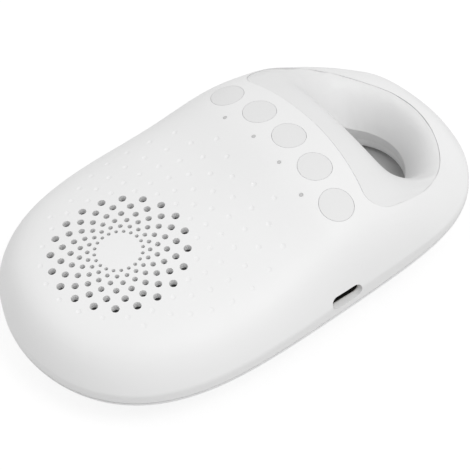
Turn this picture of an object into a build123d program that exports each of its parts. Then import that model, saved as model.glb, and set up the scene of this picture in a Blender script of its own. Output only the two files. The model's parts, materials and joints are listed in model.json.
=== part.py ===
from build123d import *
from math import asin, cos, exp, hypot, pi, radians, sin, sqrt, tan, tanh
import os

# Portable white noise sound machine, millimetres, +Z up.
# The machine lies on its four rubber feet. X is its width, with the charging port on the +X
# side, and +Y runs from the loudspeaker end to the handle end. Everything is modelled from
# the joint between the two shells (z = 0 there), and the finished parts are lifted so that
# the feet stand on z = 0.

# ---------------------------------------------------------------- driving dimensions

# body form
body_width = 80.0
body_length = 131.8
near_end_power = 3.7
far_end_power = 5.5
taper = 0.06
taper_start = -0.5
wall = 2.0
crown_height = 18.4
crown_slope = 0.03
hump_height = 4.9
hump_from_far_end = 51.0
hump_reach = 15.0
fall_from_far_end = 33.4
fall_slope = 0.67
fall_bend = 2.9
cross_crown = 248.0
handle_end_height = 5.2
handle_end_bend = 1.5
rim_share = 0.175
front_roundness = 5.0
back_roundness = 1.5
back_bowl_depth = 13.0
back_rim = 0.8
base_depth = 11.5
front_rim_fillet = 2.0
back_rim_fillet = 0.6
seam_width = 0.3
seam_depth = 0.8
lip_height = 1.2
lip_thickness = 1.0
lip_clearance = 0.1
lip_root = 3.0
lip_from_far_end = 22.0

# handle slot and its lining
lining_radius = 29.9
lining_from_far_end = 36.0
lining_near_band = 2.7
lining_near_radius = 89.0
lining_corner = 4.6
lining_thickness = 1.8
lining_clearance = 0.1
lining_recess = 0.1
lining_foot_z = -8.0
handle_band = 7.5
slot_radius = 15.1
slot_near_band = 14.3
slot_corner = 2.5
roll_depth = 10.5
near_roll_power = 4.0
far_roll_power = 2.0
roll_change_start = 2.5
roll_change_end = 18.5
well_wall = 1.5
slot_back_fillet = 1.5

# loudspeaker grille and dimples
grille_from_near_end = 31.0
grille_rings = 6
holes_per_ring = 20
first_ring_radius = 6.23
first_ring_step = 1.76
ring_step_growth = 0.24
first_hole_radius = 0.5
hole_growth = 0.11
dimple_radius = 0.75
dimple_depth = 0.22
dimple_gap = 2.6
dimple_step = 3.05
dimple_rings = 10
dimple_margin = 10.5
dimple_gap_to_lights = 5.0

# buttons and lights
button_radius = 4.45
button_clearance = 0.08
button_pitch = 12.1
button_row_gap = 8.7
button_row_radius = 101.5
button_travel = 0.3
button_flange_radius = 5.4
button_flange_thickness = 1.0
button_flange_top = 13.6
button_stem_radius = 1.6
button_wall = 1.2
button_collar_wall = 1.2
flange_gap = 0.1
light_row_drop = 7.05
light_radius = 0.5
light_clearance = 0.05
light_foot_radius = 1.0
light_boss_radius = 1.8
light_boss_length = 3.0
light_gap = 0.1

# key board and its switches
board_thickness = 1.2
key_board_top = 9.7
key_board_half_width = 27.2
key_board_near_margin = 15.5
key_board_far_margin = 8.0
key_post_edge = (3.0, 3.0)
key_post_far_edge = (8.7, 2.6)
switch_side = 5.2
switch_height = 1.5
switch_floor = 0.4
switch_cover_thickness = 0.15
plunger_radius = 1.1
plunger_rise = 0.55
plunger_clearance = 0.1
led_side = 1.6
led_height = 0.6
resistor_size = (1.0, 0.5, 0.4)
resistor_spread = 2.0
resistor_gap = 3.0

# main board and what it carries
main_board_top = 2.3
main_board_half_width = 27.5
main_board_near_margin = 29.5
main_board_far_margin = 4.0
main_post_edge = 3.0
post_radius = 2.2
usb_row_gap = 11.2
usb_width = 8.94
usb_height = 3.26
usb_length = 7.5
usb_wall = 0.3
usb_recess = 2.6
usb_overhang = 1.9
usb_tab_width = 12.0
usb_opening_clearance = 0.3
usb_tongue_width = 6.7
usb_tongue_thickness = 0.7
usb_tongue_reach = 5.0
chip_row_rise = 1.7
control_chip_size = (7.0, 7.0, 0.9)
amplifier_chip_size = (4.4, 5.0, 1.1)
amplifier_chip_x = -10.0
charge_chip_size = (4.0, 4.0, 0.9)
charge_chip_x = 22.0
flash_memory_size = (5.2, 5.3, 1.8)
flash_memory_x = 11.0
power_row_edge = 7.0
inductor_size = (5.0, 5.0, 3.0)
inductor_corner = 1.2
inductor_x = 17.0
storage_capacitor_radius = 2.5
storage_capacitor_height = 5.4
storage_capacitor_x = (-22.0, -16.0)
ceramic_capacitor_size = (0.8, 1.6, 0.8)
ceramic_capacitor_pitch = 2.4
ceramic_capacitor_gap = 0.9
ceramic_capacitors_per_row = 5
board_link_x = -12.0
board_link_edge = 3.0
board_link_length = 15.24
board_link_width = 2.54
plug_width = 6.0
plug_length = 4.0
plug_height = 3.0
socket_wall = 0.8
socket_length = 5.0
connector_fit = 0.05
battery_plug_edge = 3.5
battery_plug_offset = 1.5
speaker_plug_edge = 5.0

# loudspeaker
speaker_radius = 22.5
baffle_z = 10.0
baffle_inner_radius = 18.8
baffle_wall = 2.5
speaker_pocket_clearance = 0.2
gasket_thickness = 0.5
flange_width = 5.3
flange_thickness = 1.2
ear_radius = 2.6
ear_reach_out = 1.5
surround_roll_radius = 1.2
surround_thickness = 0.25
surround_land = 1.2
cone_lip_width = 0.8
cone_thickness = 0.4
coil_inner_radius = 4.8
coil_thickness = 0.4
coil_bottom = -1.2
coil_top = 4.9
coil_gap = 0.3
basket_wall = 0.8
basket_foot_z = 1.5
basket_foot_radius = 13.5
basket_windows = 6
basket_window_width = 6.0
basket_window_edge = 1.0
spider_z = 3.3
spider_thickness = 0.2
spider_outer_radius = 11.3
spider_ledge = 1.0
top_plate_thickness = 2.0
top_plate_radius = 11.5
magnet_thickness = 4.5
magnet_radius = 13.0
magnet_hole_radius = 7.0
yoke_thickness = 2.0
yoke_radius = 12.0
dust_cap_rise = 1.6
dust_cap_thickness = 0.3
cloth_thickness = 0.3
cloth_gap = 0.05
terminal_width = 10.0
terminal_thickness = 1.0
terminal_height = 4.0
terminal_tab = (1.2, 0.5, 1.0)
terminal_wire_drop = 0.4

# battery
battery_length = 43.0
battery_width = 34.0
battery_thickness = 5.0
battery_corner = 1.5
battery_row_gap = 11.0
battery_pad_thickness = 0.5

# fasteners
case_screw_near = (25.0, -46.0)
case_screw_far = (31.0, 24.0)
case_boss_radius = 3.0
case_screw_radius = 1.0
case_head_radius = 2.0
case_head_height = 1.3
case_head_seat_z = -4.0
case_screw_reach = 6.0
head_pocket_clearance = 0.4
head_pocket_wall = 1.6
board_screw_radius = 0.8
board_head_radius = 1.6
board_head_height = 1.0
board_screw_reach = 4.0
speaker_screw_reach = 2.4
screw_hole_clearance = 0.1
thread_fit = 0.02
pilot_spare = 0.4
drive_depth = 0.6
drive_width = 0.4
drive_length = 1.2
head_edge = 0.33

# feet
foot_radius = 4.0
foot_thickness = 1.6
foot_stand = 0.8
foot_clearance = 0.1
foot_edge = 0.3
foot_near = (12.5, -37.5)
foot_far = (15.0, 27.0)

# wires
wire_radius = 0.45
wire_spacing = 1.6
wire_bend_share = 0.45
battery_wire_lead = 4.6
battery_wire_climb = 4.2
battery_wire_clearance = 2.8
battery_wire_drop = 2.4
battery_wire_entry = 3.0
speaker_wire_lead = 2.6
speaker_wire_entry = 2.8

# ---------------------------------------------------------------- worked out

half_width = body_width / 2
half_length = body_length / 2
stand_height = base_depth + foot_stand
floor_z = -base_depth + wall
lining_y = half_length - lining_from_far_end
lining_near_y = lining_y - lining_near_band
lining_hole = lining_thickness + lining_clearance
lining_well = lining_hole + well_wall
slot_near_y = lining_near_y + slot_near_band
slot_y = lining_y + lining_radius - handle_band - slot_radius
solid_end_y = lining_y + lining_radius + lining_clearance
lip_end_y = half_length - lip_from_far_end
hump_y = half_length - hump_from_far_end
fall_y = half_length - fall_from_far_end
grille_y = grille_from_near_end - half_length
grille_centre = (0, grille_y)
button_row_y = lining_near_y - button_row_gap
key_board_near_y = button_row_y - key_board_near_margin
key_board_far_y = button_row_y + key_board_far_margin
key_board_bottom = key_board_top - board_thickness
main_board_near_y = button_row_y - main_board_near_margin
main_board_far_y = button_row_y + main_board_far_margin
main_board_bottom = main_board_top - board_thickness
usb_mouth_x = half_width - usb_recess
usb_y = button_row_y - usb_row_gap
usb_z = main_board_top + usb_height / 2
chip_row_y = usb_y + chip_row_rise
power_row_y = main_board_near_y + power_row_edge
battery_y = button_row_y - battery_row_gap
switch_top = key_board_top + switch_height
plunger_top = switch_top + plunger_rise
flange_top = baffle_z - gasket_thickness
flange_bottom = flange_top - flange_thickness
flange_inner_radius = speaker_radius - flange_width
cone_radius = flange_inner_radius - 2 * surround_roll_radius
coil_outer_radius = coil_inner_radius + coil_thickness
terminal_y = grille_y + flange_inner_radius + basket_wall + surround_thickness
battery_plug_x = battery_plug_edge - main_board_half_width
battery_plug_y = battery_y - battery_plug_offset
speaker_plug_y = main_board_near_y + speaker_plug_edge
plug_z = main_board_top + socket_wall + connector_fit

# sizes of the construction itself
tall = 60.0
surface_margin = 1.0
surface_step = 4.2
lining_step = 2.0
outline_points = 48
outside_bend = 3.0
roll_levelling = 0.5
share_sharpness = 4.0
tiny = 1e-6
same_level = 0.1


def above(z):
    """Everything over the level z, as a block."""
    return block(0, 0, z, 4 * half_width, 4 * half_length, 2 * tall)


def below(z):
    """Everything under the level z, as a block."""
    return block(0, 0, z - 2 * tall, 4 * half_width, 4 * half_length, 2 * tall)


def beyond(y):
    """Everything past a place along the body towards the handle end, as a block."""
    return block(0, y + half_length, -tall, 4 * half_width, 2 * half_length, 2 * tall)


def column(outline, bottom, top):
    """An outline drawn on the XY plane, raised from bottom to top."""
    return Pos(0, 0, bottom) * extrude(outline, top - bottom)


def rod(x, y, bottom, top, radius):
    """An upright round rod."""
    return Pos(x, y, bottom) * Cylinder(radius, top - bottom, align=(Align.CENTER, Align.CENTER, Align.MIN))


def block(x, y, z, length_x, length_y, height):
    """An upright box that stands on the level z, centred on x and y."""
    return Pos(x, y, z) * Box(length_x, length_y, height, align=(Align.CENTER, Align.CENTER, Align.MIN))


def mirrored(near, far):
    """Four places: two on the right side and the same two on the left."""
    return [(side * place[0], place[1]) for place in (near, far) for side in (1, -1)]


# ---------------------------------------------------------------- body form

def soft_ramp(value, bend):
    """0 well below zero and the value itself well above it, with a smooth bend between."""
    return (value + hypot(value, bend)) / 2


def crown_line(y):
    """Height of the front along the middle: a gentle climb, a hump at the buttons, a falling end."""
    climb = crown_height + crown_slope * y
    hump = hump_height * exp(-(((y - hump_y) / hump_reach) ** 2))
    fall = fall_slope * soft_ramp(y - fall_y, fall_bend)
    return handle_end_height + soft_ramp(climb + hump - fall - handle_end_height, handle_end_bend)


def nearness(x, y, inset):
    """0 on the long axis, 1 on the body's outline drawn in by inset.

    The outline is a superellipse whose two ends have their own powers, and it narrows a little
    towards the handle end.
    """
    narrowing = taper * max(y / half_length - taper_start, 0) ** 2
    across = half_width * (1 - narrowing) - inset
    along = half_length - inset
    power = near_end_power if y < 0 else far_end_power
    return (x / across) ** 2 + (abs(y) / along) ** power


def edge_share(reach, power):
    """1 in the middle, 0 on the outline, and on down outside it with the same slope and bend."""
    if reach < 1:
        return 1 - reach**power
    over = reach - 1
    return -power * over - power * (power - 1) / 2 * over**2 / (1 + outside_bend * over)


def front_height(x, y, inset):
    """Height of the front surface, drawn in by inset."""
    height = crown_line(y) - inset
    share = edge_share(nearness(x, y, inset), front_roundness)
    cross_fall = x * x / cross_crown * share * height / crown_height
    return height * (rim_share + (1 - rim_share) * share) - cross_fall


def back_height(x, y, inset):
    """Height of the bowl-shaped back surface, drawn in by inset."""
    bowl = (back_bowl_depth - inset) * edge_share(nearness(x, y, inset), back_roundness)
    return -back_rim - bowl


def height_surface(height, left, right, near, far, step):
    """A smooth face through the heights on an even grid."""
    columns = round((right - left) / step)
    rows = round((far - near) / step)
    points = []
    for i in range(columns + 1):
        x = left + (right - left) * i / columns
        line = []
        for j in range(rows + 1):
            y = near + (far - near) * j / rows
            line.append(Vector(x, y, height(x, y)))
        points.append(line)
    return Face.make_surface_from_array_of_points(points, tol=0.02, min_deg=3, max_deg=3)


def outline_point(angle, inset):
    """The point of the plan outline that is seen from the middle in a given direction."""
    inside = 0
    outside = half_width + half_length
    while outside - inside > tiny:
        reach = (inside + outside) / 2
        if nearness(reach * cos(angle), reach * sin(angle), inset) < 1:
            inside = reach
        else:
            outside = reach
    return inside * cos(angle), inside * sin(angle)


def body_outline(inset):
    """Plan outline of the body, drawn in by inset."""
    points = [outline_point(2 * pi * k / outline_points, inset) for k in range(outline_points)]
    return make_face(Spline(*points, periodic=True))


def under_front(inset, half_x, near, far):
    """Everything under the front surface drawn in by inset."""
    def height(x, y):
        return front_height(x, y, inset)
    face = height_surface(height, -half_x, half_x, near, far, surface_step)
    return extrude(face, tall + 2 * base_depth, dir=(0, 0, -1))


def over_back(inset, half_x, half_y):
    """Everything over the back surface drawn in by inset."""
    def height(x, y):
        return back_height(x, y, inset)
    face = height_surface(height, -half_x, half_x, -half_y, half_y, surface_step)
    return extrude(face, tall + 2 * base_depth, dir=(0, 0, 1))


def body_form(inset):
    """The whole body, drawn in by inset on every side."""
    half_x = half_width - inset + surface_margin
    half_y = half_length - inset + surface_margin
    form = column(body_outline(inset), -tall / 2, tall / 2)
    form = form & under_front(inset, half_x, -half_y, half_y)
    form = form & over_back(inset, half_x, half_y)
    return form & above(-base_depth + inset)


def rim_edges(form):
    """The long edge that runs right round the body where its side wall meets the crown or the bowl."""
    return [edge for edge in form.edges() if edge.length > half_length and abs(edge.center().Z) > same_level]


# ---------------------------------------------------------------- handle slot

def cut_disc(centre_y, radius, near_y, corner):
    """A disc cut across by a very slightly bowed near edge, with rounded corners."""
    disc = Pos(0, centre_y) * Circle(radius)
    cut = Pos(0, near_y - lining_near_radius) * Circle(lining_near_radius)
    shape = (disc - cut).faces().sort_by(Axis.Y)[-1]
    corners = [vertex for vertex in shape.vertices() if abs(vertex.X) > radius / 4]
    return shape.fillet_2d(corner, corners)


def lining_outline(grow):
    """Outline of the lining where it meets the front, grown by grow."""
    return cut_disc(lining_y, lining_radius + grow, lining_near_y - grow, lining_corner + grow)


def slot_outline(grow):
    """Outline of the straight slot, grown by grow."""
    return cut_disc(slot_y, slot_radius + grow, slot_near_y - grow, slot_corner + grow)


def smooth_change(start, end, value):
    """0 before start, 1 after end, smooth between."""
    share = min(max((value - start) / (end - start), 0), 1)
    return share * share * (3 - 2 * share)


def roll_height(x, y, depth):
    """Height of the lining's surface as it rolls from the front down into the slot.

    The surface follows the front a little below it, and drops by a power of how far the point
    lies from the lining's edge towards the slot. The near side rolls over late and tightly,
    the far side falls away at once and more gently.
    """
    from_side = max(lining_radius - hypot(x, y - lining_y), tiny)
    to_slot = hypot(x, y - slot_y) - slot_radius - depth
    from_near = y - (lining_near_y - x * x / (2 * lining_near_radius))
    far = smooth_change(lining_y + roll_change_start, lining_y + roll_change_end, y)
    side_share = from_side / (from_side + to_slot)
    near_share = max(from_near, tiny) / (slot_near_band - depth)
    share = (side_share**-share_sharpness + near_share**-share_sharpness) ** (-1 / share_sharpness)
    power = near_roll_power + (far_roll_power - near_roll_power) * far
    drop = share**power
    if share > 1:
        drop = 1 + roll_levelling * power * tanh((share - 1) / roll_levelling)
    return front_height(x, y + far * from_side, 0) - lining_recess - depth - roll_depth * drop


def roll_face(depth):
    """The rolled surface, lowered by depth and with the slot wider by depth."""
    half_x = lining_radius + 3 * lining_step
    near = lining_near_y - half_x**2 / (2 * lining_near_radius) - lining_step
    far = lining_y + lining_radius + 2 * lining_step
    return height_surface(lambda x, y: roll_height(x, y, depth), -half_x, half_x, near, far, lining_step)


def funnel(depth, grow):
    """The space over the rolled surface inside the lining's outline, and the slot under it."""
    over = extrude(roll_face(depth), tall + 2 * base_depth, dir=(0, 0, 1))
    bowl = over & column(lining_outline(grow), -tall / 2, tall / 2)
    return bowl + column(slot_outline(depth), -tall / 2, tall / 2)


def make_handle_trim():
    under = extrude(roll_face(0), tall + 2 * base_depth, dir=(0, 0, -1))
    trim = funnel(lining_thickness, 0) & under
    trim = trim & above(lining_foot_z)
    return trim - column(slot_outline(0), -tall, tall)


# ---------------------------------------------------------------- patterns on the front

def ring_radius(ring):
    """Radius of a ring of grille holes: the rings spread a little as they grow."""
    return first_ring_radius + first_ring_step * ring + ring_step_growth * ring * (ring - 1) / 2


def ring_places(ring, radius):
    """Places on one ring, with every second ring turned by half a step."""
    step = 2 * pi / holes_per_ring
    start = step / 2 * (1 + ring % 2)
    for k in range(holes_per_ring):
        angle = start + step * k
        yield radius * cos(angle), grille_y + radius * sin(angle)


def grille_holes():
    holes = []
    for ring in range(grille_rings):
        hole = first_hole_radius + hole_growth * ring
        for x, y in ring_places(ring, ring_radius(ring)):
            holes.append(rod(x, y, baffle_z, tall / 2, hole))
    return holes


def dimple_places():
    places = []
    outer = ring_radius(grille_rings - 1)
    lights_y = button_row_y - light_row_drop - dimple_gap_to_lights
    for k in range(dimple_rings):
        for x, y in ring_places(grille_rings + k, outer + dimple_gap + dimple_step * k):
            if nearness(x, y, dimple_margin) < 1 and y < lights_y - x * x / (2 * button_row_radius):
                places.append((x, y))
    return places


def front_normal(x, y):
    """The direction square to the front surface."""
    reach = dimple_radius / 2
    slope_x = (front_height(x + reach, y, 0) - front_height(x - reach, y, 0)) / (2 * reach)
    slope_y = (front_height(x, y + reach, 0) - front_height(x, y - reach, 0)) / (2 * reach)
    return Vector(-slope_x, -slope_y, 1).normalized()


def dimple_cutters():
    """Balls that bite a shallow round dimple, with their poles and seams off the surface."""
    ball = (dimple_radius**2 + dimple_depth**2) / (2 * dimple_depth)
    cutters = []
    for x, y in dimple_places():
        normal = front_normal(x, y)
        centre = Vector(x, y, front_height(x, y, 0)) + normal * (ball - dimple_depth)
        along = normal.cross(Vector(1, 0, 0)).normalized()
        cutters.append(Plane(origin=centre, x_dir=normal, z_dir=along) * Sphere(ball))
    return cutters


def row_place(steps, drop):
    """A place on the button row's arc, or on the arc of the lights inside it."""
    angle = asin(button_pitch / button_row_radius) * steps
    radius = button_row_radius - drop
    return radius * sin(angle), button_row_y - button_row_radius + radius * cos(angle)


button_names = ("timer_button", "sound_button", "power_button", "volume_down_button", "volume_up_button")
button_places = [row_place(steps, 0) for steps in (-2, -1, 0, 1, 2)]
light_places = [row_place(steps, light_row_drop) for steps in (-1.5, -0.5, 0.5, 1.5)]
key_post_places = mirrored(
    (key_board_half_width - key_post_edge[0], key_board_near_y + key_post_edge[1]),
    (key_board_half_width - key_post_far_edge[0], key_board_far_y - key_post_far_edge[1]),
)
main_post_x = main_board_half_width - main_post_edge
main_post_places = mirrored(
    (main_post_x, main_board_near_y + main_post_edge),
    (main_post_x, main_board_far_y - main_post_edge),
)
case_screw_places = mirrored(case_screw_near, case_screw_far)
foot_places = mirrored(foot_near, foot_far)
ear_reach = (speaker_radius + ear_reach_out) / sqrt(2)
ear_places = [(sx * ear_reach, grille_y + sy * ear_reach) for sx in (1, -1) for sy in (1, -1)]


# ---------------------------------------------------------------- shells

def usb_outline(grow):
    """The charging port's rounded slot, seen along X."""
    height = usb_height + 2 * grow
    return Plane.YZ * Pos(usb_y, usb_z) * SlotOverall(usb_width + 2 * grow, height)


def speaker_outline(grow):
    """The loudspeaker's round flange with its four ears, grown by grow."""
    outline = Pos(*grille_centre) * Circle(speaker_radius + grow)
    for x, y in ear_places:
        outline += Pos(x, y) * Circle(ear_radius + grow)
    return outline


def make_front_shell(outer, inner, trim_well, trim_hole):
    shell = outer & above(0)
    shell = fillet(rim_edges(shell), front_rim_fillet)
    shell = shell - dimple_cutters()

    # what stands inside: baffle, button collars, light bosses, posts, bosses, solid handle end
    inside = column(speaker_outline(speaker_pocket_clearance + baffle_wall), flange_bottom, tall / 2)
    for x, y in button_places:
        inside += rod(x, y, button_flange_top + flange_gap, tall / 2, button_radius + button_collar_wall)
    for x, y in light_places:
        inside += rod(x, y, front_height(x, y, wall) - light_boss_length, tall / 2, light_boss_radius)
    for x, y in key_post_places:
        inside += rod(x, y, key_board_top, tall / 2, post_radius)
    for x, y in case_screw_places:
        inside += rod(x, y, 0, tall / 2, case_boss_radius)
    inside += beyond(solid_end_y)
    cavity = inner - (inside + trim_well)
    shell = shell - cavity

    # openings and holes
    shell = shell - trim_hole
    pocket = column(speaker_outline(speaker_pocket_clearance), 0, baffle_z)
    opening = rod(*grille_centre, baffle_z, tall / 2, baffle_inner_radius) & inner
    shell = shell - pocket - opening
    cutters = grille_holes()
    for x, y in button_places:
        cutters.append(rod(x, y, key_board_top, tall / 2, button_radius + button_clearance))
    for x, y in light_places:
        cutters.append(rod(x, y, key_board_top, tall / 2, light_radius + light_clearance))
    for x, y in key_post_places:
        cutters.append(pilot(x, y, key_board_top, board_screw_reach, board_screw_radius))
    for x, y in case_screw_places:
        cutters.append(pilot(x, y, 0, case_screw_reach, case_screw_radius))
    for x, y in ear_places:
        cutters.append(pilot(x, y, baffle_z, speaker_screw_reach, board_screw_radius))
    port_hole = extrude(usb_outline(usb_opening_clearance), usb_recess + 2 * wall)
    cutters.append(Pos(usb_mouth_x - wall, 0, 0) * port_hole)
    cutters.append(seam_groove(0, seam_width / 2))
    return shell - cutters


def pilot(x, y, start, reach, radius):
    """A screw's blind hole upwards from the level start."""
    return rod(x, y, start, start + reach + pilot_spare, radius + thread_fit)


def seam_groove(bottom, top):
    """The thin groove that runs round the joint between the shells."""
    return column(body_outline(-1) - body_outline(seam_depth), bottom, top)


def make_rear_shell(outer, inner):
    shell = outer & below(0)
    shell = fillet(rim_edges(shell), back_rim_fillet)

    # what stands inside: slot collar, screw bosses, board posts
    inside = column(slot_outline(lining_well), -tall / 2, lining_foot_z)
    for x, y in case_screw_places:
        radius = case_head_radius + head_pocket_clearance + head_pocket_wall
        inside += rod(x, y, -tall / 2, 0, radius)
    for x, y in main_post_places:
        inside += rod(x, y, -tall / 2, main_board_bottom, post_radius)
    shell = shell - (inner - inside)
    for x, y in main_post_places:
        shell += rod(x, y, floor_z, main_board_bottom, post_radius)

    # the lip that stands up inside the front shell, as far as the shell is deep enough for it
    lip_inside = body_outline(wall + lip_clearance + lip_thickness)
    lip = column(body_outline(wall + lip_clearance) - lip_inside, -lip_root, lip_height)
    root = column(body_outline(wall / 2) - lip_inside, -lip_root, 0)
    shell += (lip - beyond(lip_end_y)) + (root & outer)

    # holes
    cutters = [slot_mouth()]
    for x, y in case_screw_places:
        cutters.append(rod(x, y, -tall, case_head_seat_z, case_head_radius + head_pocket_clearance))
        cutters.append(rod(x, y, -tall, lip_root, case_screw_radius + screw_hole_clearance))
        cutters.append(rod(x, y, 0, lip_root, case_boss_radius + lip_clearance))
    for x, y in main_post_places:
        depth = board_screw_reach + pilot_spare
        cutters.append(rod(x, y, main_board_bottom - depth, lip_root, board_screw_radius + thread_fit))
    for x, y in foot_places:
        top = foot_thickness - foot_stand - base_depth
        cutters.append(rod(x, y, -tall, top, foot_radius + foot_clearance))
    cutters.append(seam_groove(-seam_width / 2, 0))
    return shell - cutters


def slot_mouth():
    """The slot below the lining, with its edge rounded where it comes out of the back."""
    mouth = below(-base_depth) + column(slot_outline(0), -base_depth - surface_margin, lining_foot_z)
    on_base = [edge for edge in mouth.edges() if abs(edge.center().Z + base_depth) < same_level]
    slot_edges = [edge for edge in on_base if lining_near_y < edge.center().Y < half_length]
    return fillet(slot_edges, slot_back_fillet)


# ---------------------------------------------------------------- buttons, lights, key board

def make_button(x, y, front):
    """A hollow cap with a flange under the shell and a stem over its switch."""
    flange_bottom_z = button_flange_top - button_flange_thickness
    cap = rod(x, y, flange_bottom_z, tall / 2, button_radius) & front
    hollow_top = front_height(x, y, wall)
    hollow = rod(x, y, flange_bottom_z, hollow_top, button_radius - button_wall)
    cap = cap - (hollow - rod(x, y, flange_bottom_z, hollow_top, button_stem_radius))
    flange = rod(x, y, flange_bottom_z, button_flange_top, button_flange_radius)
    cap += flange - rod(x, y, flange_bottom_z, button_flange_top, button_radius - button_wall)
    return cap + rod(x, y, plunger_top, button_flange_top, button_stem_radius)


def make_plunger(x, y):
    bottom = key_board_top + switch_floor + button_travel + plunger_clearance
    return rod(x, y, bottom, plunger_top, plunger_radius)


def make_switch_body(x, y):
    top = switch_height - switch_cover_thickness
    body = block(x, y, key_board_top, switch_side, switch_side, top)
    return body - rod(x, y, key_board_top + switch_floor, switch_top, plunger_radius + 2 * plunger_clearance)


def make_switch_cover(x, y):
    cover = block(x, y, switch_top - switch_cover_thickness, switch_side, switch_side, switch_cover_thickness)
    return cover - rod(x, y, key_board_top, switch_top, plunger_radius + plunger_clearance)


def make_light_pipe(x, y, front):
    shoulder = front_height(x, y, wall) - light_boss_length
    pin = rod(x, y, shoulder, tall / 2, light_radius) & front
    return pin + rod(x, y, key_board_top + led_height + light_gap, shoulder, light_foot_radius)


def board_holes(places):
    return [rod(x, y, -tall, tall, board_screw_radius + screw_hole_clearance) for x, y in places]


def make_key_board():
    length = key_board_far_y - key_board_near_y
    middle = key_board_near_y + length / 2
    board = block(0, middle, key_board_bottom, 2 * key_board_half_width, length, board_thickness)
    board = fillet(board.edges().filter_by(Axis.Z), post_radius)
    return board - board_holes(key_post_places)


def make_resistors():
    """Two small resistors under each light, on the near side of the key board."""
    parts = []
    for x, y in light_places:
        for step in (-1, 1):
            parts.append(block(x + step * resistor_spread, y - resistor_gap, key_board_top, *resistor_size))
    return parts


# ---------------------------------------------------------------- main board

def make_main_board():
    """A rectangle with a tab that carries the charging socket out to the wall."""
    length = main_board_far_y - main_board_near_y
    middle = main_board_near_y + length / 2
    board = block(0, middle, main_board_bottom, 2 * main_board_half_width, length, board_thickness)
    board = fillet(board.edges().filter_by(Axis.Z), post_radius)
    tab_reach = usb_mouth_x - usb_overhang
    board += block(tab_reach / 2, usb_y, main_board_bottom, tab_reach, usb_tab_width, board_thickness)
    return board - board_holes(main_post_places)


def make_usb_socket():
    tube = usb_outline(0) - usb_outline(-usb_wall)
    return Pos(usb_mouth_x - usb_length, 0, 0) * extrude(tube, usb_length)


def make_usb_tongue():
    """The socket's plastic core: a back wall that fills the tube, and the thin tongue."""
    back = usb_length - usb_tongue_reach
    core = Pos(usb_mouth_x - usb_length, 0, 0) * extrude(usb_outline(-usb_wall), back - usb_wall)
    tongue_length = usb_tongue_reach - usb_wall
    centre = usb_mouth_x - usb_length + back - usb_wall + tongue_length / 2
    tongue = Pos(centre, usb_y, usb_z) * Box(tongue_length, usb_tongue_width, usb_tongue_thickness)
    return core + tongue


def chip(x, y, size):
    return block(x, y, main_board_top, *size)


def make_ceramic_capacitors():
    """A short row of small capacitors on each side of the control chip."""
    from_middle = (control_chip_size[1] + ceramic_capacitor_size[1]) / 2 + ceramic_capacitor_gap
    parts = []
    for side in (-1, 1):
        for k in range(ceramic_capacitors_per_row):
            x = ceramic_capacitor_pitch * (k - (ceramic_capacitors_per_row - 1) / 2)
            parts.append(chip(x, chip_row_y + side * from_middle, ceramic_capacitor_size))
    return parts


def make_storage_capacitors():
    top = main_board_top + storage_capacitor_height
    return [rod(x, power_row_y, main_board_top, top, storage_capacitor_radius) for x in storage_capacitor_x]


def make_power_inductor():
    inductor = chip(inductor_x, power_row_y, inductor_size)
    return fillet(inductor.edges().filter_by(Axis.Z), inductor_corner)


def make_board_link():
    """The pin header that joins the two boards."""
    height = key_board_bottom - main_board_top
    y = main_board_far_y - board_link_edge
    return block(board_link_x, y, main_board_top, board_link_length, board_link_width, height)


def connector(turn, x, y):
    """A plug and its socket: the plug enters the socket along the local +X direction."""
    place = Pos(x, y, 0) * Rot(0, 0, turn)
    plug = Pos(plug_length / 2, 0, plug_z + plug_height / 2) * Box(plug_length, plug_width, plug_height)
    side = plug_width + 2 * (socket_wall + connector_fit)
    height = plug_height + 2 * (socket_wall + connector_fit)
    inside = plug_width + 2 * connector_fit
    inside_height = plug_height + 2 * connector_fit
    start = plug_length / 2
    body = Pos(start + socket_length / 2, 0, main_board_top + height / 2) * Box(socket_length, side, height)
    depth = plug_length - start + connector_fit
    hollow = Pos(start + depth / 2, 0, main_board_top + height / 2) * Box(depth, inside, inside_height)
    return place * plug, place * (body - hollow)


# ---------------------------------------------------------------- loudspeaker

def ring_profile(points):
    """A solid of revolution about the loudspeaker's axis from (radius, z) points."""
    profile = Plane.XZ * make_face(Polyline(*points, close=True))
    return Pos(0, grille_y, 0) * revolve(profile, Axis.Z)


def make_speaker_frame():
    outline = speaker_outline(0) - Pos(*grille_centre) * Circle(flange_inner_radius)
    flange = column(outline, flange_bottom, flange_top)
    foot_top = basket_foot_z + basket_wall
    wall_top = flange_inner_radius + basket_wall
    basket = ring_profile([
        (coil_outer_radius + coil_gap, basket_foot_z),
        (basket_foot_radius, basket_foot_z),
        (wall_top, flange_bottom),
        (flange_inner_radius, flange_bottom),
        (basket_foot_radius - basket_wall, foot_top),
        (spider_outer_radius, foot_top),
        (spider_outer_radius, spider_z),
        (spider_outer_radius - spider_ledge, spider_z),
        (spider_outer_radius - spider_ledge, foot_top),
        (coil_outer_radius + coil_gap, foot_top),
    ])
    window_height = flange_bottom - foot_top - 2 * basket_window_edge
    window = block(flange_inner_radius, 0, foot_top + basket_window_edge,
                   basket_window_width, basket_window_width, window_height)
    for k in range(basket_windows):
        basket -= Pos(*grille_centre) * Rot(0, 0, 360 / basket_windows * k) * window
    return flange + basket - board_holes(ear_places)


def make_speaker_top_plate():
    outer = top_plate_radius
    inner = coil_outer_radius + coil_gap
    bottom = basket_foot_z - top_plate_thickness
    return ring_profile([(inner, bottom), (outer, bottom), (outer, basket_foot_z), (inner, basket_foot_z)])


def make_speaker_magnet():
    top = basket_foot_z - top_plate_thickness
    bottom = top - magnet_thickness
    return ring_profile([
        (magnet_hole_radius, bottom),
        (magnet_radius, bottom),
        (magnet_radius, top),
        (magnet_hole_radius, top),
    ])


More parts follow.
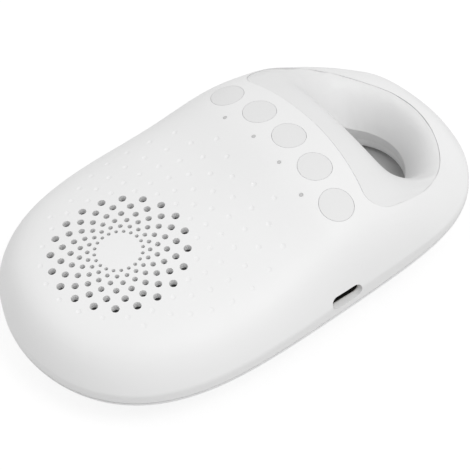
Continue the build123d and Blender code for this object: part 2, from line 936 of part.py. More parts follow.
def make_speaker_yoke():
    top = basket_foot_z - top_plate_thickness - magnet_thickness
    pole = coil_inner_radius - coil_gap
    return ring_profile([
        (0, top - yoke_thickness),
        (yoke_radius, top - yoke_thickness),
        (yoke_radius, top),
        (pole, top),
        (pole, basket_foot_z),
        (0, basket_foot_z),
    ])


def make_voice_coil():
    return ring_profile([
        (coil_inner_radius, coil_bottom),
        (coil_outer_radius, coil_bottom),
        (coil_outer_radius, coil_top),
        (coil_inner_radius, coil_top),
    ])


def make_speaker_cone():
    lip_top = flange_top
    lip_inner = cone_radius - cone_lip_width
    neck_z = coil_top - 2 * cone_thickness
    return ring_profile([
        (coil_outer_radius, neck_z),
        (coil_outer_radius, neck_z + 2 * cone_thickness),
        (lip_inner, lip_top),
        (cone_radius, lip_top),
        (cone_radius, lip_top - cone_thickness),
        (lip_inner, lip_top - cone_thickness),
    ])


def make_dust_cap():
    """A thin dome over the voice coil, resting on the coil's top edge."""
    def arc(rise, radius):
        return ThreePointArc((-radius, coil_top), (0, coil_top + rise), (radius, coil_top))
    outer = arc(dust_cap_rise, coil_outer_radius)
    inner = arc(dust_cap_rise - dust_cap_thickness, coil_outer_radius - dust_cap_thickness)
    outside = make_face([outer, Line(outer @ 0, outer @ 1)])
    inside = make_face([inner, Line(inner @ 0, inner @ 1)])
    half = (outside - inside) & (Pos(tall / 2, 0) * Rectangle(tall, 2 * tall))
    return Pos(0, grille_y, 0) * revolve(Plane.XZ * half, Axis.Z)


def make_speaker_surround():
    """The rubber half roll between the cone's lip and the flange."""
    middle = cone_radius + surround_roll_radius
    outer_roll = surround_roll_radius + surround_thickness / 2
    inner_roll = surround_roll_radius - surround_thickness / 2
    outer = Pos(middle, flange_top) * Circle(outer_roll)
    inner = Pos(middle, flange_top) * Circle(inner_roll)
    over = Pos(middle, flange_top + tall / 2) * Rectangle(4 * outer_roll, tall)
    roll = (outer - inner) & over
    land_top = flange_top + surround_thickness
    inner_land = Pos(cone_radius - cone_lip_width / 2, land_top - surround_thickness / 2)
    outer_land = Pos(flange_inner_radius + surround_land / 2, land_top - surround_thickness / 2)
    roll += inner_land * Rectangle(cone_lip_width + surround_thickness, surround_thickness)
    roll += outer_land * Rectangle(surround_land + surround_thickness, surround_thickness)
    return Pos(0, grille_y, 0) * revolve(Plane.XZ * roll, Axis.Z)


def make_speaker_spider():
    """The flat centring disc between the coil and the frame's ledge."""
    top = spider_z + spider_thickness
    return ring_profile([
        (coil_outer_radius, spider_z),
        (spider_outer_radius, spider_z),
        (spider_outer_radius, top),
        (coil_outer_radius, top),
    ])


def make_speaker_gasket():
    inner = max(baffle_inner_radius, flange_inner_radius + surround_land + surround_thickness)
    ring = Pos(*grille_centre) * (Circle(speaker_radius) - Circle(inner))
    return column(ring, flange_top, baffle_z)


def make_grille_cloth():
    """A thin cloth disc just under the holes, bowed like the shell."""
    reach = baffle_inner_radius + surface_margin
    top = under_front(wall + cloth_gap, reach, grille_y - reach, grille_y + reach)
    bottom = under_front(wall + cloth_gap + cloth_thickness, reach, grille_y - reach, grille_y + reach)
    disc = rod(*grille_centre, baffle_z, tall / 2, baffle_inner_radius - cloth_thickness)
    return (disc & top) - bottom


def make_speaker_terminals():
    """A small upright strip under the flange with two solder tabs."""
    y = terminal_y + terminal_thickness / 2
    bottom = flange_bottom - terminal_height
    parts = [block(0, y, bottom, terminal_width, terminal_thickness, terminal_height)]
    for side in (-1, 1):
        parts.append(block(side * terminal_width / 4, y, bottom - terminal_tab[2], *terminal_tab))
    return parts[0] + parts[1:]


# ---------------------------------------------------------------- battery

def make_battery_cell():
    bottom = floor_z + battery_pad_thickness
    cell = block(0, battery_y, bottom, battery_length, battery_width, battery_thickness)
    return fillet(cell.edges(), battery_corner)


def make_battery_pad():
    length = battery_length - 4 * battery_corner
    width = battery_width - 4 * battery_corner
    return block(0, battery_y, floor_z, length, width, battery_pad_thickness)


# ---------------------------------------------------------------- fasteners and feet

def make_screw(x, y, seat, reach, shank, head, head_height, up):
    """A pan head screw with a cross recess. Up is 1 where the shank points up, or -1."""
    shaft = rod(0, 0, 0, reach, shank)
    cap = rod(0, 0, -head_height, 0, head)
    cap = fillet(cap.edges().sort_by(Axis.Z)[0], head_edge * head_height)
    length = drive_length * head
    cross = block(0, 0, -head_height, length, drive_width, drive_depth)
    cross += block(0, 0, -head_height, drive_width, length, drive_depth)
    screw = shaft + cap - cross
    return Pos(x, y, seat) * (screw if up == 1 else Rot(180, 0, 0) * screw)


def case_screw(x, y):
    reach = case_screw_reach - case_head_seat_z
    return make_screw(x, y, case_head_seat_z, reach, case_screw_radius, case_head_radius, case_head_height, 1)


def board_screw(x, y, seat, reach, up):
    return make_screw(x, y, seat, reach, board_screw_radius, board_head_radius, board_head_height, up)


def make_foot(x, y):
    foot = rod(x, y, -base_depth - foot_stand, -base_depth - foot_stand + foot_thickness, foot_radius)
    return fillet(foot.edges().sort_by(Axis.Z)[0], foot_edge)


# ---------------------------------------------------------------- wires

def bend_radii(points):
    """Radius of each bend: as large as the two runs beside it allow."""
    radii = []
    for before, corner, after in zip(points, points[1:], points[2:]):
        arriving = corner - before
        leaving = after - corner
        turn = radians(arriving.get_angle(leaving))
        radii.append(wire_bend_share * min(arriving.length, leaving.length) / tan(turn / 2))
    return radii


def make_wire(name, points):
    """A round wire of straight runs joined by tangent arcs."""
    points = [Vector(*point) for point in points]
    radii = bend_radii(points)
    path = FilletPolyline(*points, radius=radii)
    section = Plane(origin=path @ 0, z_dir=path % 0) * Circle(wire_radius)
    wire = sweep(section, path)
    share = wire.volume / (pi * wire_radius**2 * path.length)
    print(name, "bend radii", [round(radius, 1) for radius in radii], "volume share", round(share, 3))
    return wire


def make_battery_wires():
    """From the cell's left end, out past the board's edge, up and back to the plug."""
    start_x = -battery_length / 2
    start_z = floor_z + battery_pad_thickness + battery_thickness - battery_corner
    plug_rear = plug_z + plug_height / 2
    outside = -main_board_half_width - battery_wire_clearance
    wires = []
    for side in (-1, 1):
        y = battery_plug_y + side * wire_spacing / 2
        wires.append(make_wire("battery wire", [
            (start_x, y, start_z),
            (start_x - battery_wire_lead, y, start_z),
            (outside, y, start_z + battery_wire_climb),
            (outside, y, plug_rear - battery_wire_drop),
            (outside + battery_wire_entry, y, plug_rear),
            (battery_plug_x, y, plug_rear),
        ]))
    return wires


def make_speaker_wires():
    """From the solder strip over the board's edge to the plug."""
    start_y = terminal_y + terminal_thickness
    start_z = flange_bottom - terminal_height * terminal_wire_drop
    plug_rear = plug_z + plug_height / 2
    wires = []
    for side in (-1, 1):
        wires.append(make_wire("speaker wire", [
            (side * terminal_width / 4, start_y, start_z),
            (side * terminal_width / 4, start_y + speaker_wire_lead, start_z),
            (side * wire_spacing / 2, speaker_plug_y - speaker_wire_entry, plug_rear),
            (side * wire_spacing / 2, speaker_plug_y, plug_rear),
        ]))
    return wires


# ---------------------------------------------------------------- build and write

outer = body_form(0)
inner = body_form(wall)
margin_x = half_width + surface_margin
margin_y = half_length + surface_margin
front = under_front(0, margin_x, -margin_y, margin_y)
battery_plug, battery_socket = connector(0, battery_plug_x, battery_plug_y)
speaker_plug, speaker_socket = connector(90, 0, speaker_plug_y)

trim_well = funnel(lining_well, well_wall + lining_clearance)
trim_hole = funnel(lining_hole, lining_clearance)

nodes = {
    "front_shell": make_front_shell(outer, inner, trim_well, trim_hole),
    "rear_shell": make_rear_shell(outer, inner),
    "handle_trim": make_handle_trim(),
    "light_pipes": [make_light_pipe(x, y, front) for x, y in light_places],
    "key_board": make_key_board(),
    "switch_bodies": [make_switch_body(x, y) for x, y in button_places],
    "switch_covers": [make_switch_cover(x, y) for x, y in button_places],
    "status_leds": [block(x, y, key_board_top, led_side, led_side, led_height) for x, y in light_places],
    "resistors": make_resistors(),
    "main_board": make_main_board(),
    "usb_socket": make_usb_socket(),
    "usb_tongue": make_usb_tongue(),
    "control_chip": chip(0, chip_row_y, control_chip_size),
    "amplifier_chip": chip(amplifier_chip_x, power_row_y, amplifier_chip_size),
    "charge_chip": chip(charge_chip_x, usb_y, charge_chip_size),
    "flash_memory": chip(flash_memory_x, chip_row_y, flash_memory_size),
    "power_inductor": make_power_inductor(),
    "storage_capacitors": make_storage_capacitors(),
    "ceramic_capacitors": make_ceramic_capacitors(),
    "board_link": make_board_link(),
    "battery_plug": battery_plug,
    "battery_socket": battery_socket,
    "speaker_plug": speaker_plug,
    "speaker_socket": speaker_socket,
    "battery_cell": make_battery_cell(),
    "battery_pad": make_battery_pad(),
    "battery_wires": make_battery_wires(),
    "speaker_wires": make_speaker_wires(),
    "speaker_frame": make_speaker_frame(),
    "speaker_top_plate": make_speaker_top_plate(),
    "speaker_magnet": make_speaker_magnet(),
    "speaker_yoke": make_speaker_yoke(),
    "speaker_surround": make_speaker_surround(),
    "speaker_spider": make_speaker_spider(),
    "speaker_cone": make_speaker_cone(),
    "dust_cap": make_dust_cap(),
    "voice_coil": make_voice_coil(),
    "speaker_terminals": make_speaker_terminals(),
    "speaker_gasket": make_speaker_gasket(),
    "grille_cloth": make_grille_cloth(),
    "case_screws": [case_screw(x, y) for x, y in case_screw_places],
    "key_board_screws": [board_screw(x, y, key_board_bottom, board_thickness + board_screw_reach, 1)
                         for x, y in key_post_places],
    "main_board_screws": [board_screw(x, y, main_board_top, board_thickness + board_screw_reach, -1)
                          for x, y in main_post_places],
    "speaker_screws": [board_screw(x, y, flange_bottom, baffle_z - flange_bottom + speaker_screw_reach, 1)
                       for x, y in ear_places],
    "rubber_feet": [make_foot(x, y) for x, y in foot_places],
}
for name, (x, y) in zip(button_names, button_places):
    nodes[name] = make_button(x, y, front)
    nodes[name.replace("button", "plunger")] = make_plunger(x, y)

os.makedirs("parts", exist_ok=True)
for name, shape in nodes.items():
    solids = shape if isinstance(shape, list) else [shape]
    lifted = [solid for item in solids for solid in (Pos(0, 0, stand_height) * item).solids()]
    export_step(lifted[0] if len(lifted) == 1 else Compound(lifted), f"parts/{name}.step")
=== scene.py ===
import json
import math

import bpy
import numpy as np
from mathutils import Matrix, Vector


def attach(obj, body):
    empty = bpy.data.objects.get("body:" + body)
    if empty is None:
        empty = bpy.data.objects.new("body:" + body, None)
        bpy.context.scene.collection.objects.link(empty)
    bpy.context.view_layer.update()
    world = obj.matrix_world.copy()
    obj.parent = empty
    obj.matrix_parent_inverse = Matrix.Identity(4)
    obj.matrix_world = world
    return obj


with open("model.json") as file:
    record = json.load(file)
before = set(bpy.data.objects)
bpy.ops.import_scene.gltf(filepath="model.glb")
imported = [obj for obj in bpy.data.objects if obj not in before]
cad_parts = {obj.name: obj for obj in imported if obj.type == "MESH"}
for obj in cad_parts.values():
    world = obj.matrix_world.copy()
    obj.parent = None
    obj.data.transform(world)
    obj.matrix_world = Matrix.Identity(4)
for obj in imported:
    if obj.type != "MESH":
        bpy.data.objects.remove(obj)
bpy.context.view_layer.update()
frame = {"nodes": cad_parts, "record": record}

# Portable white noise sound machine, in metres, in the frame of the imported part: +Z up out of
# the front, +Y towards the handle slot, +X towards the charging port.

MM = 0.001

# Places on the part.
seam_z = 12.3 * MM
body_middle = (0, 0, 20 * MM)
grille_centre = (0, -34.9 * MM, 0)
battery_wires_y = 6.0 * MM
speaker_wires_x = 0.0
port_mouth_x = 37.4 * MM
port_y = 7.3 * MM
port_z = seam_z + 3.93 * MM

# Gold contacts on top of the charging port's tongue.
tongue_top = port_z + 0.35 * MM
contacts_middle_x = port_mouth_x - 2.5 * MM
contact_count = 12
contact_pitch = 0.5 * MM
contact_length = 3.2 * MM
contact_half_width = 0.13 * MM
contact_height = 0.03 * MM
contact_rows = 13
contact_sides = 8
contact_end_cut = 0.999

# Plastic and metal.
flow_mark_size = 22 * MM
gloss_patch_size = 9 * MM
gloss_swing = 0.04
scratch_size = 0.6 * MM
scratch_darkening = 0.86
metal_cloud_size = 2 * MM
metal_smoother = 0.05
metal_rougher = 0.08
wire_red = (0.5, 0.02, 0.015)
wire_colour_edge = 0.01 * MM

# Floor and light.
floor_reach = 4.0
floor_level = -0.02 * MM
floor_bounce = 0.62
floor_shadow_share = 0.25
floor_glow = 0.8
# Painted shade: a round darker floor patch under the handle slot, with its middle, radius, edge
# blur and grey.
under_slot = (-4 * MM, 50 * MM, 0)
under_slot_reach = 16 * MM
under_slot_blur = 0.2
under_slot_painted_shade = 0.4
light_from_above = 0.9
light_from_sides = 0.55
lamp_place = (0.6, 0.2, 1.0)
lamp_size = 0.45
lamp_power = 3.6
white = (1, 1, 1, 1)

# The photo's camera: angles in degrees, the focal length and the frame's width in pixels of the
# photo, and the width of the sensor in millimetres.
camera_azimuth = 59.94
camera_elevation = 50.86
camera_roll = 6.46
camera_distance = 527.3 * MM
camera_aside = 0.45 * MM
camera_below = -2.05 * MM
camera_nearest = 0.01
focal_pixels = 2000
photo_pixels = 470
sensor_width = 36

# Length of one wave of Blender's wave texture at scale 1.
wave_unit = 2 * math.pi / 20


def grey(level):
    return (level, level, level)


# ---------------------------------------------------------------- shader nodes

def add_node(tree, kind, inputs, **settings):
    """A new shader node. Each of its inputs is set to a value or fed by another node's output."""
    node = tree.nodes.new("ShaderNode" + kind)
    for setting, value in settings.items():
        setattr(node, setting, value)
    for socket, value in inputs.items():
        if isinstance(value, bpy.types.NodeSocket):
            tree.links.new(value, node.inputs[socket])
        else:
            node.inputs[socket].default_value = value
    return node


def mix_colours(tree, factor, low, high):
    """From the colour low to the colour high as the factor goes from 0 to 1."""
    inputs = {"A": (*low, 1), "B": (*high, 1), "Factor": factor}
    return add_node(tree, "Mix", inputs, data_type="RGBA").outputs["Result"]


def mix_shaders(tree, factor, first, second):
    """From the first shader to the second as the factor goes from 0 to 1."""
    return add_node(tree, "MixShader", {"Fac": factor, 1: first, 2: second}).outputs["Shader"]


def combine(tree, operation, first, second):
    """One arithmetic step on two patterns or numbers."""
    inputs = {0: first, 1: second}
    return add_node(tree, "Math", inputs, operation=operation).outputs["Value"]


# ---------------------------------------------------------------- materials

class Finish:
    """A material: one Principled shader, fed by patterns on Object coordinates.

    Sizes of patterns are given as the length of one repeat, in metres.
    """

    def __init__(self, name, colour, roughness, **values):
        self.material = bpy.data.materials.new(name)
        self.material.use_nodes = True
        self.tree = self.material.node_tree
        self.shader = self.tree.nodes["Principled BSDF"]
        self.shader.inputs["Base Color"].default_value = (*colour, 1)
        self.shader.inputs["Roughness"].default_value = roughness
        for socket, value in values.items():
            self.shader.inputs[socket.replace("_", " ")].default_value = value
        self.place = self.add("TexCoord", {}, "Object")

    def add(self, kind, inputs, output, **settings):
        """One output of a new node in this material."""
        return add_node(self.tree, kind, inputs, **settings).outputs[output]

    def feed(self, socket, pattern):
        """Feeds one of the shader's inputs with a pattern."""
        self.tree.links.new(pattern, self.shader.inputs[socket])

    def stretched(self, stretch):
        """Object coordinates stretched along each axis."""
        return self.add("Mapping", {"Vector": self.place, "Scale": stretch}, "Vector")

    def centred(self, centre):
        """Object coordinates counted from a centre."""
        back = [-coordinate for coordinate in centre]
        return self.add("Mapping", {"Vector": self.place, "Location": back}, "Vector")

    def noise(self, size, detail=2.0, place=None):
        """Cloudy noise between 0 and 1."""
        inputs = {"Vector": place or self.place, "Scale": 1 / size, "Detail": detail}
        return self.add("TexNoise", inputs, "Fac")

    def cells(self, size):
        """Distance to the nearest of many scattered points: 0 at each point."""
        return self.add("TexVoronoi", {"Vector": self.place, "Scale": 1 / size}, "Distance")

    def bands(self, pitch, axis):
        """Smooth waves in bands across an axis."""
        inputs = {"Vector": self.place, "Scale": wave_unit / pitch}
        return self.add("TexWave", inputs, "Fac", wave_type="BANDS", bands_direction=axis)

    def rings(self, pitch, axis, centre):
        """Smooth waves in rings round an axis through a centre."""
        inputs = {"Vector": self.centred(centre), "Scale": wave_unit / pitch}
        return self.add("TexWave", inputs, "Fac", wave_type="RINGS", rings_direction=axis)

    def between(self, pattern, low, high, start=0.3, end=0.7):
        """The pattern's range from start to end, carried over to the range from low to high."""
        inputs = {"Value": pattern, "From Min": start, "From Max": end,
                  "To Min": low, "To Max": high}
        return self.add("MapRange", inputs, "Result")

    def colour(self, pattern, low, high, start=0.3, end=0.7):
        """Base colour from low to high as the pattern goes from start to end."""
        factor = self.between(pattern, 0, 1, start, end)
        self.feed("Base Color", mix_colours(self.tree, factor, low, high))

    def roughness(self, pattern, low, high):
        """Roughness from low to high over the middle of the pattern's range."""
        self.feed("Roughness", self.between(pattern, low, high))

    def relief(self, pattern, depth):
        """Raises the surface by the pattern times depth, on top of any relief before it."""
        inputs = {"Height": pattern, "Distance": depth, "Strength": 1}
        normal = self.shader.inputs["Normal"]
        if normal.is_linked:
            inputs["Normal"] = normal.links[0].from_socket
        self.feed("Normal", self.add("Bump", inputs, "Normal"))


def moulded(name, low, high, roughness, grain_size, grain_depth):
    """Moulded plastic: a fine even grain, faint flow marks and a slightly uneven gloss."""
    finish = Finish(name, low, roughness)
    finish.colour(finish.noise(flow_mark_size, detail=3), low, high)
    gloss = finish.noise(gloss_patch_size, detail=4)
    finish.roughness(gloss, roughness - gloss_swing, roughness + gloss_swing)
    finish.relief(finish.noise(grain_size), grain_depth)
    return finish


def shell_plastic():
    return moulded("shell_plastic", grey(0.845), grey(0.86), roughness=0.5,
                   grain_size=0.5 * MM, grain_depth=0.006 * MM)


def lining_plastic():
    return moulded("lining_plastic", grey(0.785), grey(0.8), roughness=0.5,
                   grain_size=0.45 * MM, grain_depth=0.008 * MM)


def keycap_plastic():
    """Button caps: a finer, deeper and duller grain than the shell's."""
    return moulded("keycap_plastic", grey(0.775), grey(0.79), roughness=0.55,
                   grain_size=0.4 * MM, grain_depth=0.012 * MM)


def black_plastic():
    return moulded("black_plastic", grey(0.018), grey(0.026), roughness=0.45,
                   grain_size=0.3 * MM, grain_depth=0.01 * MM)


def nylon_plastic():
    return moulded("nylon_plastic", (0.74, 0.71, 0.62), (0.8, 0.77, 0.69), roughness=0.5,
                   grain_size=0.4 * MM, grain_depth=0.008 * MM)


def chip_epoxy():
    """Moulded chip packages: black epoxy full of fine pale glass specks."""
    finish = moulded("chip_epoxy", grey(0.014), grey(0.022), roughness=0.55,
                     grain_size=0.12 * MM, grain_depth=0.006 * MM)
    specks = finish.cells(0.15 * MM)
    finish.colour(specks, grey(0.06), grey(0.017), start=0.0, end=0.35)
    return finish


def light_guide():
    """Milky plastic, a little cloudy, under a glossy skin."""
    finish = Finish("light_guide", grey(0.55), roughness=0.25,
                    Coat_Weight=0.4, Coat_Roughness=0.1)
    finish.colour(finish.noise(0.25 * MM, detail=3), grey(0.5), grey(0.6))
    finish.relief(finish.noise(0.15 * MM), depth=0.004 * MM)
    return finish


def diode_lens():
    """A white package with yellow phosphor grains under clear epoxy."""
    finish = Finish("diode_lens", (0.85, 0.8, 0.55), roughness=0.2,
                    Coat_Weight=0.6, Coat_Roughness=0.05)
    phosphor, package = (0.78, 0.62, 0.14), (0.88, 0.86, 0.74)
    finish.colour(finish.cells(0.12 * MM), phosphor, package, start=0.1, end=0.6)
    finish.relief(finish.noise(0.3 * MM), depth=0.01 * MM)
    return finish


def circuit_board():
    """Green solder mask over copper: tracks show as paler bands that turn in square steps."""
    finish = Finish("circuit_board", (0.01, 0.1, 0.035), roughness=0.3,
                    Coat_Weight=0.5, Coat_Roughness=0.15)
    square = 4 * MM
    track_pitch = 0.9 * MM
    squares = finish.add("VectorMath", {0: finish.place, 1: (square, square, square)}, "Vector",
                         operation="SNAP")
    turn = finish.noise(3 * MM, detail=0, place=squares)
    chosen = combine(finish.tree, "GREATER_THAN", turn, 0.5)
    others = combine(finish.tree, "SUBTRACT", 1, chosen)
    one_way = combine(finish.tree, "MULTIPLY", finish.bands(track_pitch, "X"), chosen)
    other_way = combine(finish.tree, "MULTIPLY", finish.bands(track_pitch, "Y"), others)
    tracks = combine(finish.tree, "ADD", one_way, other_way)
    mask, mask_over_copper = (0.008, 0.085, 0.03), (0.02, 0.19, 0.06)
    finish.colour(tracks, mask, mask_over_copper, start=0.55, end=0.75)
    finish.relief(finish.between(tracks, 0, 1, start=0.5, end=0.8), depth=0.03 * MM)
    return finish


def metal(name, colour, roughness, grain, scratch_depth):
    """Plated metal: long fine scratches one way and a cloudy gloss.

    The grain squeezes the scratches along each axis by its factor.
    """
    finish = Finish(name, colour, roughness, Metallic=1.0)
    streaks = finish.noise(scratch_size, detail=3, place=finish.stretched(grain))
    finish.colour(streaks, tuple(scratch_darkening * part for part in colour), colour)
    clouds = finish.noise(metal_cloud_size, detail=3)
    finish.roughness(clouds, roughness - metal_smoother, roughness + metal_rougher)
    finish.relief(streaks, scratch_depth)
    return finish


def plated_steel():
    return metal("plated_steel", (0.56, 0.56, 0.58), roughness=0.32,
                 grain=(1, 12, 12), scratch_depth=0.006 * MM)


def nickel_plate():
    return metal("nickel_plate", (0.66, 0.65, 0.62), roughness=0.2,
                 grain=(14, 2, 14), scratch_depth=0.003 * MM)


def drawn_can():
    return metal("drawn_can", (0.68, 0.68, 0.7), roughness=0.28,
                 grain=(12, 12, 1), scratch_depth=0.004 * MM)


def gold_plate():
    return metal("gold_plate", (0.83, 0.6, 0.25), roughness=0.22,
                 grain=(2, 10, 2), scratch_depth=0.002 * MM)


def cell_pouch():
    """Foil pouch of the battery cell, with shallow soft wrinkles and painted shade in their
    hollows.
    """
    finish = Finish("cell_pouch", (0.6, 0.61, 0.63), roughness=0.35, Metallic=1.0)
    wrinkles = finish.noise(4 * MM, detail=4, place=finish.stretched((1, 0.4, 1)))
    # Painted shade: the foil is darker where the wrinkles sink.
    finish.colour(wrinkles, (0.54, 0.55, 0.57), (0.63, 0.64, 0.66))
    finish.roughness(finish.noise(1 * MM), low=0.3, high=0.42)
    finish.relief(wrinkles, depth=0.12 * MM)
    return finish


def fired_ceramic():
    """Brown fired bodies with paler clouds."""
    finish = Finish("fired_ceramic", (0.36, 0.24, 0.15), roughness=0.4)
    finish.colour(finish.noise(0.3 * MM, detail=3), (0.3, 0.19, 0.11), (0.44, 0.32, 0.22))
    finish.relief(finish.noise(0.2 * MM), depth=0.01 * MM)
    return finish


def ferrite():
    """Sintered ferrite: dark and chalky, with a granular surface."""
    finish = Finish("ferrite", grey(0.035), roughness=0.6)
    finish.colour(finish.noise(0.4 * MM, detail=5), grey(0.022), grey(0.055))
    finish.relief(finish.cells(0.25 * MM), depth=0.02 * MM)
    return finish


def paper_pulp():
    """Pressed black paper: short fibres that lie across each other, with painted shade in the gaps
    between them.
    """
    finish = Finish("paper_pulp", grey(0.03), roughness=0.85)
    fibres = [finish.noise(0.7 * MM, detail=4, place=finish.stretched(stretch))
              for stretch in ((1, 4, 1), (4, 1, 1))]
    felt = combine(finish.tree, "MAXIMUM", *fibres)
    # Painted shade: the felt is darker where it is lower, between the fibres.
    finish.colour(felt, grey(0.02), grey(0.06), start=0.45, end=0.7)
    finish.relief(felt, depth=0.04 * MM)
    return finish


def soft_rubber():
    """Moulded rubber: matt, with a fine pebbled skin and a bloom of paler patches."""
    finish = Finish("soft_rubber", grey(0.1), roughness=0.75)
    finish.colour(finish.noise(3 * MM, detail=3), grey(0.085), grey(0.12))
    finish.roughness(finish.noise(1.5 * MM), low=0.68, high=0.82)
    finish.relief(finish.cells(0.3 * MM), depth=0.015 * MM)
    return finish


def closed_foam():
    """Closed-cell foam: small open bubbles over the cut face, each with painted shade in its
    hollow.
    """
    finish = Finish("closed_foam", grey(0.06), roughness=0.9)
    bubbles = finish.cells(0.4 * MM)
    # Painted shade: darkest in the middle of each sunken bubble.
    finish.colour(bubbles, grey(0.03), grey(0.09), start=0.05, end=0.5)
    finish.relief(bubbles, depth=0.12 * MM)
    return finish


def woven(name, low, high, pitch, depth):
    """A plain weave: bands one way crossed by bands the other way, with painted shade in the gaps
    between the threads.
    """
    finish = Finish(name, high, roughness=0.8, Sheen_Weight=0.3, Sheen_Roughness=0.5)
    threads = [finish.bands(pitch, axis) for axis in ("X", "Y")]
    weave = combine(finish.tree, "MAXIMUM", *threads)
    # Painted shade: darker where the weave dips, between the threads.
    finish.colour(weave, low, high, start=0.3, end=0.9)
    finish.relief(weave, depth)
    return finish


def grille_mesh():
    return woven("grille_mesh", grey(0.01), grey(0.035), pitch=0.35 * MM, depth=0.06 * MM)


def spider_cloth():
    """Resin-dipped cloth, pressed into rings round the coil."""
    finish = woven("spider_cloth", (0.3, 0.19, 0.06), (0.55, 0.4, 0.16),
                   pitch=0.4 * MM, depth=0.03 * MM)
    finish.relief(finish.rings(1.3 * MM, "Z", grille_centre), depth=0.25 * MM)
    return finish


def copper_winding():
    """Enamelled wire wound in even turns up the coil, with painted shade in the grooves between
    turns.
    """
    finish = Finish("copper_winding", (0.7, 0.3, 0.12), roughness=0.3,
                    Metallic=1.0, Coat_Weight=0.4)
    turns = finish.bands(0.12 * MM, "Z")
    # Painted shade: darker in the grooves between the turns.
    finish.colour(turns, (0.4, 0.14, 0.05), (0.78, 0.36, 0.16))
    finish.relief(turns, depth=0.03 * MM)
    return finish


def wire_sleeve(name, axis, middle):
    """Silicone sleeves of two wires: black up to the middle line between them, red past it."""
    finish = Finish(name, wire_red, roughness=0.4, Coat_Weight=0.2)
    across = finish.add("SeparateXYZ", {"Vector": finish.place}, axis)
    finish.colour(across, grey(0.02), wire_red,
                  start=middle - wire_colour_edge, end=middle + wire_colour_edge)
    finish.roughness(finish.noise(1.2 * MM), low=0.32, high=0.5)
    finish.relief(finish.noise(0.4 * MM), depth=0.008 * MM)
    return finish


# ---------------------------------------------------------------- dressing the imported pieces

finishes = {
    "shell": shell_plastic(),
    "trim": lining_plastic(),
    "keycap": keycap_plastic(),
    "light_guide": light_guide(),
    "board": circuit_board(),
    "chip": chip_epoxy(),
    "steel": plated_steel(),
    "nickel": nickel_plate(),
    "black_plastic": black_plastic(),
    "white_plastic": nylon_plastic(),
    "led": diode_lens(),
    "ceramic": fired_ceramic(),
    "ferrite": ferrite(),
    "capacitor": drawn_can(),
    "paper": paper_pulp(),
    "rubber": soft_rubber(),
    "foam": closed_foam(),
    "cloth": grille_mesh(),
    "spider_cloth": spider_cloth(),
    "copper": copper_winding(),
    "cell": cell_pouch(),
    "wire": wire_sleeve("battery_wire_sleeve", "Y", battery_wires_y),
}
own_finishes = {
    "speaker_wires": wire_sleeve("speaker_wire_sleeve", "X", speaker_wires_x),
}


def dress_packed_pieces():
    """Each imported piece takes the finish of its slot, or one of its own."""
    slots = {part["node"]: part["material_slot"] for part in frame["record"]["subparts"]}
    for node, piece in frame["nodes"].items():
        finish = own_finishes.get(node) or finishes[slots[node]]
        for slot in piece.material_slots:
            slot.material = finish.material


# ---------------------------------------------------------------- new pieces

def mesh_piece(name, points, faces, finish, body):
    """A piece from an array of points and a list of faces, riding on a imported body."""
    mesh = bpy.data.meshes.new(name)
    mesh.from_pydata(points.tolist(), [], faces)
    mesh.update()
    for face in mesh.polygons:
        face.use_smooth = True
    piece = bpy.data.objects.new(name, mesh)
    bpy.context.scene.collection.objects.link(piece)
    mesh.materials.append(finish.material)
    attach(piece, body)


def tube_faces(rows, sides):
    """Faces of a closed tube whose points are counted round each row and then row by row."""
    faces = []
    for row in range(0, (rows - 1) * sides, sides):
        for side in range(sides):
            after = (side + 1) % sides
            faces.append((row + side, row + after, row + sides + after, row + sides + side))
    faces.append(tuple(reversed(range(sides))))
    faces.append(tuple(range((rows - 1) * sides, rows * sides)))
    return faces


def port_contacts():
    """Thin gold strips side by side on top of the charging port's tongue.

    Each strip is a bar along X, sunk to half its height in the tongue. Its cross-section is an
    ellipse, scaled by the square root of one minus the fourth power of the way from the middle
    to the end. The way stops just short of the end, so that the last sections aren't points.
    """
    along = np.linspace(-1, 1, contact_rows)[:, None]
    around = np.linspace(0, 2 * np.pi, contact_sides, endpoint=False)[None, :]
    shrink = np.sqrt(1 - np.clip(np.abs(along), 0, contact_end_cut) ** 4)
    strip = np.stack(np.broadcast_arrays(
        contacts_middle_x + contact_length / 2 * along,
        contact_half_width * shrink * np.cos(around),
        tongue_top + contact_height * shrink * np.sin(around),
    ), axis=-1).reshape(-1, 3)
    strip_faces = tube_faces(contact_rows, contact_sides)
    points = []
    faces = []
    for k in range(contact_count):
        aside = port_y + contact_pitch * (k - (contact_count - 1) / 2)
        points.append(strip + (0, aside, 0))
        faces += [tuple(len(strip) * k + index for index in face) for face in strip_faces]
    mesh_piece("port_contacts", np.concatenate(points), faces, gold_plate(), "case")


# ---------------------------------------------------------------- floor, light, camera

def white_where_seen(tree):
    """1 for rays from the camera, from reflections and through clear pieces, else 0."""
    path = add_node(tree, "LightPath", {})
    seen = path.outputs["Is Camera Ray"]
    for ray in ("Is Glossy Ray", "Is Transmission Ray"):
        seen = combine(tree, "MAXIMUM", seen, path.outputs[ray])
    return seen


def outside_painted_shade(tree):
    """Mask of the painted shade under the handle slot: 0 right under it, 1 past its edge, by the
    distance from the slot's middle.
    """
    place = add_node(tree, "TexCoord", {}).outputs["Object"]
    distance = add_node(tree, "VectorMath", {0: place, 1: under_slot}, operation="DISTANCE")
    edge = {
        "Value": distance.outputs["Value"],
        "From Min": (1 - under_slot_blur) * under_slot_reach,
        "From Max": (1 + under_slot_blur) * under_slot_reach,
    }
    return add_node(tree, "MapRange", edge).outputs["Result"]


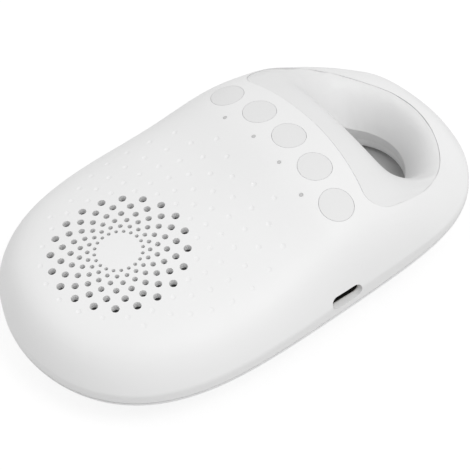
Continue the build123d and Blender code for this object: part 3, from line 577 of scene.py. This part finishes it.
def floor_paper():
    """Pale paper that glows up to white where it is seen, with room left for a soft shadow.

    A round patch under the handle slot is painted shade: it is darker and doesn't glow, so that
    the slot looks deep.
    From below the paper is clear, so that the underside can be seen.
    """
    material = bpy.data.materials.new("floor_paper")
    material.use_nodes = True
    tree = material.node_tree
    tree.nodes.remove(tree.nodes["Principled BSDF"])
    away = outside_painted_shade(tree)
    # Painted shade: the floor's colour turns to a darker grey under the handle slot.
    bounce = mix_colours(tree, away, grey(under_slot_painted_shade), grey(floor_bounce))
    plain = add_node(tree, "BsdfDiffuse", {"Color": bounce}).outputs["BSDF"]
    shaded = add_node(tree, "BsdfDiffuse", {"Color": (*grey(floor_shadow_share), 1)})
    glow = add_node(tree, "Emission", {"Strength": floor_glow})
    both = {0: shaded.outputs["BSDF"], 1: glow.outputs["Emission"]}
    glowing = add_node(tree, "AddShader", both).outputs["Shader"]
    seen = combine(tree, "MULTIPLY", white_where_seen(tree), away)
    from_above = mix_shaders(tree, seen, plain, glowing)
    below = add_node(tree, "NewGeometry", {}).outputs["Backfacing"]
    clear = add_node(tree, "BsdfTransparent", {}).outputs["BSDF"]
    surface = mix_shaders(tree, below, from_above, clear)
    tree.links.new(surface, tree.nodes["Material Output"].inputs["Surface"])
    return material


def make_floor():
    """A wide square floor, a hair under the feet."""
    corners = np.array([(-1, -1, 0), (1, -1, 0), (1, 1, 0), (-1, 1, 0)]) * floor_reach
    mesh = bpy.data.meshes.new("floor")
    mesh.from_pydata((corners + (0, 0, floor_level)).tolist(), [], [(0, 1, 2, 3)])
    floor = bpy.data.objects.new("floor", mesh)
    bpy.context.scene.collection.objects.link(floor)
    mesh.materials.append(floor_paper())


def make_world():
    """White where it is seen, and for everything else a soft light that is stronger from above."""
    world = bpy.data.worlds.new("studio")
    bpy.context.scene.world = world
    world.use_nodes = True
    tree = world.node_tree
    backdrop = tree.nodes["Background"]
    backdrop.inputs["Color"].default_value = white
    backdrop.inputs["Strength"].default_value = 1
    facing = add_node(tree, "TexCoord", {}).outputs["Generated"]
    height = add_node(tree, "SeparateXYZ", {"Vector": facing}).outputs["Z"]
    range_of_light = {"Value": height, "To Min": light_from_sides, "To Max": light_from_above}
    strength = add_node(tree, "MapRange", range_of_light).outputs["Result"]
    ambient = add_node(tree, "Background", {"Color": white, "Strength": strength})
    surface = mix_shaders(tree, white_where_seen(tree), ambient.outputs["Background"],
                          backdrop.outputs["Background"])
    tree.links.new(surface, tree.nodes["World Output"].inputs["Surface"])


def make_lamp():
    """One square area lamp above, which faces the middle of the body."""
    light = bpy.data.lights.new("top_light", "AREA")
    light.size = lamp_size
    light.energy = lamp_power
    lamp = bpy.data.objects.new("top_light", light)
    lamp.location = lamp_place
    aim = Vector(body_middle) - Vector(lamp_place)
    lamp.rotation_euler = aim.to_track_quat("-Z", "Y").to_euler()
    bpy.context.scene.collection.objects.link(lamp)


def place_camera():
    """Looks down at the middle of the body from beyond the port side of the loudspeaker end."""
    azimuth, elevation, roll = (
        math.radians(angle) for angle in (camera_azimuth, camera_elevation, camera_roll))
    forward = Vector((
        -math.sin(azimuth) * math.cos(elevation),
        math.cos(azimuth) * math.cos(elevation),
        -math.sin(elevation),
    ))
    level = Vector((math.cos(azimuth), math.sin(azimuth), 0))
    drop = forward.cross(level)
    right = level * math.cos(roll) + drop * math.sin(roll)
    down = drop * math.cos(roll) - level * math.sin(roll)
    back = forward * camera_distance + right * camera_aside + down * camera_below
    place = Vector((0, 0, seam_z)) - back
    turn = Matrix((right, -down, -forward)).transposed()
    lens = bpy.data.cameras.new("camera")
    lens.sensor_width = sensor_width
    lens.lens = sensor_width * focal_pixels / photo_pixels
    lens.clip_start = camera_nearest
    camera = bpy.data.objects.new("camera", lens)
    camera.matrix_world = Matrix.Translation(place) @ turn.to_4x4()
    bpy.context.scene.collection.objects.link(camera)
    bpy.context.scene.camera = camera


dress_packed_pieces()
port_contacts()
place_camera()
make_world()
make_floor()
make_lamp()
bpy.context.scene.view_settings.view_transform = "Standard"
